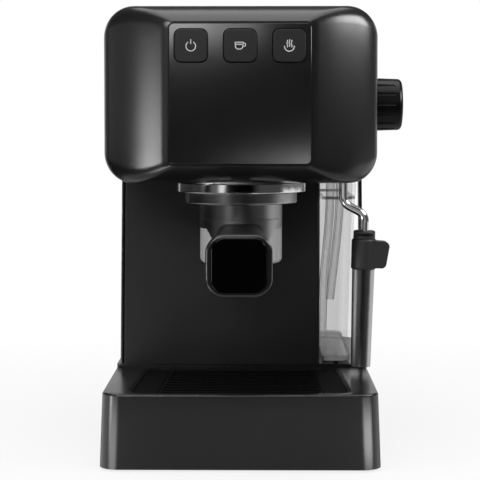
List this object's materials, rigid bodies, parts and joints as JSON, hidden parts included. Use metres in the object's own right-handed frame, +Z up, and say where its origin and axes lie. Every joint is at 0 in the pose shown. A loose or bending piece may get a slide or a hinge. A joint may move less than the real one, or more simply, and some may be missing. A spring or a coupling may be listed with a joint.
{
  "type": "espresso machine",
  "caption": "Compact pump espresso machine with an overhanging head, turn-lock portafilter, steam wand, slide-out drip tray and clear rear water tank.",
  "frame": {"origin": "on the worktop under the middle of the body, on the mid-plane, half way between the tray front and the back of the housing", "axes": "+X to the user's right, +Y to the back, +Z up"},
  "size_m": [0.2049, 0.3266, 0.3061],
  "materials": {
    "black_satin": "moulded black plastic, fine satin texture",
    "black_matt": "matt black plastic",
    "black_gloss": "polished black plastic",
    "dark_gunmetal": "satin dark grey plastic",
    "silver_cup": "silver lacquered plastic",
    "clear_tank": "clear grey-tinted plastic",
    "chrome": "polished chrome plate",
    "stainless": "brushed stainless steel",
    "zinc_steel": "zinc-plated sheet steel",
    "cast_aluminium": "die-cast aluminium",
    "brass": "machined brass",
    "rubber": "black rubber",
    "silicone": "translucent silicone hose",
    "pale_plastic": "pale grey-white plastic",
    "board_green": "circuit board"
  },
  "bodies": {
    "housing": {"chassis_plate": "black_matt", "feet": "rubber", "rear_base": "black_satin", "chassis_screws": "zinc_steel", "cord_gland": "rubber", "left_side_panel": "black_satin", "right_side_panel": "black_satin", "column_front": "black_matt", "column_back": "black_matt", "suction_hose": "silicone", "return_hose": "silicone", "hose_barbs": "brass", "suction_line": "silicone", "return_line": "silicone", "pump_body": "brass", "pump_coil": "black_matt", "pump_bracket": "zinc_steel", "pump_mounts": "rubber", "feed_line": "pale_plastic", "head_shell": "black_satin", "head_back_cover": "black_satin", "cup_tray": "black_matt", "front_panel": "black_gloss", "control_board": "board_green", "button_switches": "black_matt", "head_frame": "zinc_steel", "group_head": "cast_aluminium", "group_ring": "chrome", "group_gasket": "rubber", "shower_screen": "stainless", "shower_screw": "stainless", "boiler": "cast_aluminium", "boiler_bolts": "zinc_steel", "boiler_terminals": "stainless", "thermostats": "black_matt", "relief_valve": "brass", "steam_valve": "brass", "valve_bracket": "zinc_steel", "steam_tube": "pale_plastic", "wand_feed": "pale_plastic", "wand_swivel": "brass"},
    "drip_tray": {"drip_tray": "black_satin"},
    "drip_grid": {"drip_grid": "black_matt"},
    "water_tank": {"water_tank": "clear_tank"},
    "portafilter": {"portafilter_body": "dark_gunmetal", "filter_basket": "stainless", "spout_cup": "silver_cup", "spouts": "black_matt", "handle": "black_satin", "handle_cap": "black_gloss"},
    "steam_wand": {"steam_pipe": "chrome", "wand_grip": "black_matt", "wand_sleeve": "stainless", "wand_nozzle": "black_matt"},
    "steam_knob": {"steam_knob": "black_satin", "valve_spindle": "brass"},
    "valve_needle": {"valve_needle": "stainless"},
    "power_button": {"power_button": "black_matt"},
    "coffee_button": {"coffee_button": "black_matt"},
    "steam_button": {"steam_button": "black_matt"}
  },
  "joints": [
    {"name": "power_press", "type": "slide", "parent": "housing", "child": "power_button", "axis": [0, 1, 0], "range_m": [0, 0.002], "stiffness_N_per_m": 400},
    {"name": "coffee_press", "type": "slide", "parent": "housing", "child": "coffee_button", "axis": [0, 1, 0], "range_m": [0, 0.002], "stiffness_N_per_m": 400},
    {"name": "steam_press", "type": "slide", "parent": "housing", "child": "steam_button", "axis": [0, 1, 0], "range_m": [0, 0.002], "stiffness_N_per_m": 400},
    {"name": "knob_turn", "type": "hinge", "parent": "housing", "child": "steam_knob", "pos_m": [0.0923, -0.04, 0.2406], "axis": [1, 0, 0], "range_deg": [0, 300]},
    {"name": "needle_travel", "type": "slide", "parent": "housing", "child": "valve_needle", "axis": [1, 0, 0], "range_m": [0, 0.0011]},
    {"name": "wand_swing", "type": "hinge", "parent": "housing", "child": "steam_wand", "pos_m": [0.072, -0.04, 0.187], "axis": [0, 0, 1], "range_deg": [-100, 30]},
    {"name": "portafilter_turn", "type": "hinge", "parent": "housing", "child": "portafilter", "pos_m": [0, -0.0645, 0.187], "axis": [0, 0, 1], "range_deg": [-50, 0]},
    {"name": "tray_slide", "type": "slide", "parent": "housing", "child": "drip_tray", "axis": [0, -1, 0], "range_m": [0, 0.14]},
    {"name": "grid_lift", "type": "slide", "parent": "drip_tray", "child": "drip_grid", "axis": [0, 0, 1], "range_m": [0, 0.045]},
    {"name": "tank_slide", "type": "slide", "parent": "housing", "child": "water_tank", "axis": [0, 1, 0], "range_m": [0, 0.15], "deforming": ["suction_hose", "return_hose"]}
  ],
  "couplings": [
    {"joint": "needle_travel", "follows": "knob_turn", "m_per_rad": 0.0002}
  ]
}
